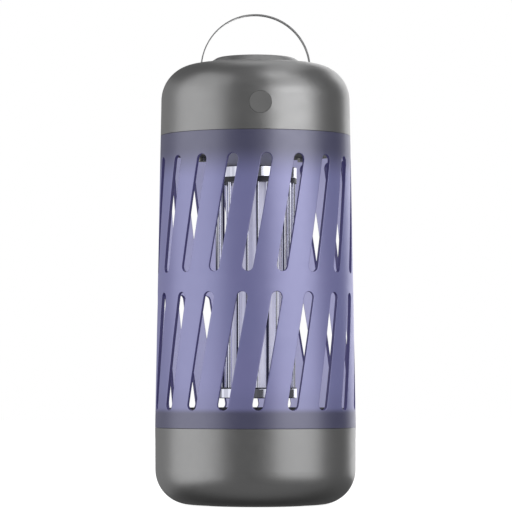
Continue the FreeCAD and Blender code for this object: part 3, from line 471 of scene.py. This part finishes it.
def end_profile(row_height, band, end, inward):
    """Height and depth of the rings from a row of slots over an end of the tube to the inside."""
    end -= inward * SEAM_FILL
    outer = [
        (end + inward * RIM_EDGE * (1 - math.sin(turn)), RIM_EDGE * (1 - math.cos(turn)))
        for turn in ROUNDING
    ]
    inner = [(height, WALL - depth) for height, depth in reversed(outer)]
    return [(row_height, 0.0), (band, 0.0), *outer, *inner, (band, WALL), (row_height, WALL)]


def add_slot(skin, bottom, top, angle):
    """The patch of the wall round one slot: outer skin, rounded edges and inner skin."""
    outer = []
    inner = []
    for turn in ROUNDING:
        clearance = EDGE * (1 - math.cos(turn))
        depth = EDGE * (1 - math.sin(turn))
        outer.append(slot_ring(bottom, top, angle, clearance, depth))
        inner.append(slot_ring(bottom, top, angle, clearance, WALL - depth))
    front = sheet_rings(bottom, top, angle, 0.0, (0, 0.15, 0.4, 0.7, 1.0))
    back = sheet_rings(bottom, top, angle, WALL, (0, 0.3, 0.65, 1.0))
    skin.loops(outer[2:] + front, finish=SKIN)
    skin.loops([*reversed(outer[:3]), *inner], finish=CUT)
    skin.loops([inner[-1], *back], finish=INSIDE)


def add_end(skin, start, profile):
    """An end of the tube, from the row of slots next to it round to the inner skin."""
    turned = [ring_round(start, height, depth) for height, depth in profile]
    last_of_rim = len(profile) - 3
    skin.loops(turned[: last_of_rim + 1], finish=SKIN)
    skin.loops(turned[last_of_rim:], finish=INSIDE)


def grille_piece():
    """The tapered tube with its two rows of leaning slots, in three finishes."""
    skin = Skin()
    for bottom, top, angle_deg in ROWS:
        for slot in range(SLOT_COUNT):
            add_slot(skin, bottom, top, math.radians(angle_deg) + TURN * slot / SLOT_COUNT)

    low_start, low_height = row_edge(0, high=False)
    mid_start, mid_height = row_edge(0, high=True)
    next_start, next_height = row_edge(1, high=False)
    high_start, high_height = row_edge(1, high=True)
    # Whole slots are added, so that the band between the two rows is twisted as little as it can be.
    pitch = TURN / SLOT_COUNT
    next_start += pitch * round((mid_start - next_start) / pitch)
    for depth, finish in ((0.0, SKIN), (WALL, INSIDE)):
        skin.loops(
            [ring_round(mid_start, mid_height, depth), ring_round(next_start, next_height, depth)],
            finish=finish,
        )
    add_end(skin, low_start, end_profile(low_height, LOW_BAND, GRILLE_BOTTOM, 1))
    add_end(skin, high_start, end_profile(high_height, HIGH_BAND, GRILLE_TOP, -1))
    made = skin.piece(
        "grille_shell",
        [TREES[name].material for name in ("violet_grille", "violet_edge", "violet_inside")],
    )
    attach(made, "root")
    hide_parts("outer_grille")
    # The real wall lets light through, so this one neither shades the rods nor shows in them.
    made.visible_glossy = False
    made.visible_shadow = False


grille_piece()


# ---------------------------------------------------------------- power button


def button_piece():
    """The button turned about its own axis, with a slightly hollow face and a rounded edge."""
    low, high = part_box("power_button")
    face = -low.y / MM
    stem_end = -high.y / MM
    level = (low.z + high.z) / 2 / MM
    radius = 4.93
    corner = 0.15
    hollow = 0.12
    hollow_radius = 4.8
    flange = 6.0
    flange_front = 39.4
    flange_back = 38.4
    stem = 2.0
    centre = 0.02
    sides = 64
    dish = [
        (out, face - hollow * (1 - (out / hollow_radius) ** 2)) for out in (centre, 1.5, 3.0, 4.2)
    ]
    rounded = [
        (radius - corner * (1 - math.sin(turn)), face - corner * (1 - math.cos(turn)))
        for turn in (TURN / 20 * step for step in range(6))
    ]
    flange_and_stem = [
        (radius, flange_front), (flange, flange_front), (flange, flange_back),
        (stem, flange_back), (stem, stem_end), (centre, stem_end),
    ]
    turns = [TURN * step / sides for step in range(sides)]
    skin = Skin()
    skin.loops([
        [(out * math.cos(turn), -depth, level + out * math.sin(turn)) for turn in turns]
        for out, depth in dish + rounded + flange_and_stem
    ])
    made = skin.piece("button_cap", [TREES["button_grey"].material])
    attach(made, "button")
    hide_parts("power_button")


button_piece()


# ---------------------------------------------------------------- light, floor and camera

CAMERA_AZIMUTH = math.radians(-3.0)
CAMERA_DISTANCE = 1.41467
CAMERA_HEIGHT = 0.05551
CAMERA_PITCH = math.radians(2.2724)
CAMERA_YAW = math.radians(-0.009)


def around(azimuth_deg, radius, height):
    """A point by azimuth from the camera's side, positive to the camera's right."""
    angle = math.radians(azimuth_deg) + CAMERA_AZIMUTH
    return (radius * math.sin(angle), -radius * math.cos(angle), height)


def softbox(name, width, tall, radiance, location, rotation):
    """A rectangular area light of one radiance that the camera doesn't see."""
    light = bpy.data.lights.new(name, "AREA")
    light.shape = "RECTANGLE"
    light.size = width
    light.size_y = tall
    light.energy = radiance * math.pi * width * tall
    holder = bpy.data.objects.new(name, light)
    bpy.context.scene.collection.objects.link(holder)
    holder.location = location
    holder.rotation_euler = rotation
    holder.visible_camera = False


UPRIGHT_RADIUS = 1.6
UPRIGHT = (
    # name, azimuth, low, high, half width, radiance
    ("left_key", -74, -0.90, 2.91, 1.17, 0.627),
    ("left_back", -108, -1.03, 1.02, 2.34, 0.186),
    ("right_key", 42.6, 0.23, 0.87, 0.78, 1.041),
    ("right_wide", 50, -0.62, 4.55, 0.84, 0.769),
    ("back_rim", 157, -0.18, 1.18, 0.61, 1.242),
)
for light_name, azimuth, bottom, top, half_width, radiance in UPRIGHT:
    softbox(
        light_name, 2 * half_width, top - bottom, radiance,
        around(azimuth, UPRIGHT_RADIUS, (bottom + top) / 2),
        (math.pi / 2, 0, math.radians(azimuth) + CAMERA_AZIMUTH),
    )

OVERHEAD_HEIGHT = 1.637
OVERHEAD = (
    # name, to the camera's right, away from it, width, length, radiance
    ("overhead_back", 0.165, 1.32, 0.816, 1.66, 0.60),
    ("overhead_right", 0.46, 0.02, 0.56, 1.84, 0.60),
)
for light_name, sideways, depth, width, length, radiance in OVERHEAD:
    spot = (
        sideways * math.cos(CAMERA_AZIMUTH) - depth * math.sin(CAMERA_AZIMUTH),
        sideways * math.sin(CAMERA_AZIMUTH) + depth * math.cos(CAMERA_AZIMUTH),
        OVERHEAD_HEIGHT,
    )
    softbox(light_name, width, length, radiance, spot, (0, 0, CAMERA_AZIMUTH))


def sky_ramp(sky, value, low, high, low_out, high_out):
    """A soft step along value, from one level to another; a level is a number or a link."""
    made = sky.nodes.new("ShaderNodeMapRange")
    made.interpolation_type = "SMOOTHSTEP"
    for socket, level in zip(list(made.inputs)[1:], (low, high, low_out, high_out)):
        if isinstance(level, float):
            socket.default_value = level
        else:
            sky.links.new(level, socket)
    sky.links.new(value, made.inputs["Value"])
    return made.outputs["Result"]


def studio_sky():
    """White to the camera. As light it is dim, and what comes from below is brighter in front."""
    world = bpy.data.worlds.new("studio")
    bpy.context.scene.world = world
    world.use_nodes = True
    sky = world.node_tree
    rays = sky.nodes.new("ShaderNodeLightPath")
    place = sky.nodes.new("ShaderNodeTexCoord")
    split = sky.nodes.new("ShaderNodeSeparateXYZ")
    sky.links.new(place.outputs["Generated"], split.inputs["Vector"])
    ground = sky_ramp(sky, split.outputs["Y"], -0.2, 0.45, 0.18, 0.02)
    ambient = sky_ramp(sky, split.outputs["Z"], -0.8, -0.3, ground, 0.11)
    seen = sky_ramp(sky, rays.outputs["Is Camera Ray"], 0.0, 1.0, ambient, 1.0)
    sky.links.new(seen, sky.nodes["Background"].inputs["Strength"])
    sky.nodes["Background"].inputs["Color"].default_value = (1, 1, 1, 1)


def pale_floor():
    """A floor that is white to the camera and takes no part in the lighting."""
    reach = 3.0
    mesh = bpy.data.meshes.new("floor")
    mesh.from_pydata(
        [(-reach, -reach, 0), (reach, -reach, 0), (reach, reach, 0), (-reach, reach, 0)],
        [], [(0, 1, 2, 3)],
    )
    floor = bpy.data.objects.new("floor", mesh)
    bpy.context.scene.collection.objects.link(floor)
    tree = Tree("pale_floor")
    tint = tree.blend(tree.noise(0.05), (0.8, 0.8, 0.8), (0.84, 0.84, 0.84))
    tree.fill(tree.shader, Roughness=1.0, **{"Base Color": tint, "Specular IOR Level": 0.0})
    tree.fill(tree.shader, **{"Emission Color": (1, 1, 1, 1), "Emission Strength": 0.9})
    mesh.materials.append(tree.material)
    floor.visible_shadow = False
    floor.visible_glossy = False
    floor.visible_diffuse = False


def photo_camera():
    """The camera that was fitted to the photo's perspective."""
    lens = bpy.data.cameras.new("camera")
    lens.lens = 221.48
    lens.sensor_width = 36.0
    lens.clip_start = 0.05
    lens.clip_end = 20.0
    camera = bpy.data.objects.new("camera", lens)
    bpy.context.scene.collection.objects.link(camera)
    camera.location = around(0, CAMERA_DISTANCE, CAMERA_HEIGHT)
    camera.rotation_euler = (math.pi / 2 + CAMERA_PITCH, 0, CAMERA_AZIMUTH + CAMERA_YAW)
    bpy.context.scene.camera = camera


studio_sky()
pale_floor()
photo_camera()

bpy.context.scene.view_settings.view_transform = "Standard"
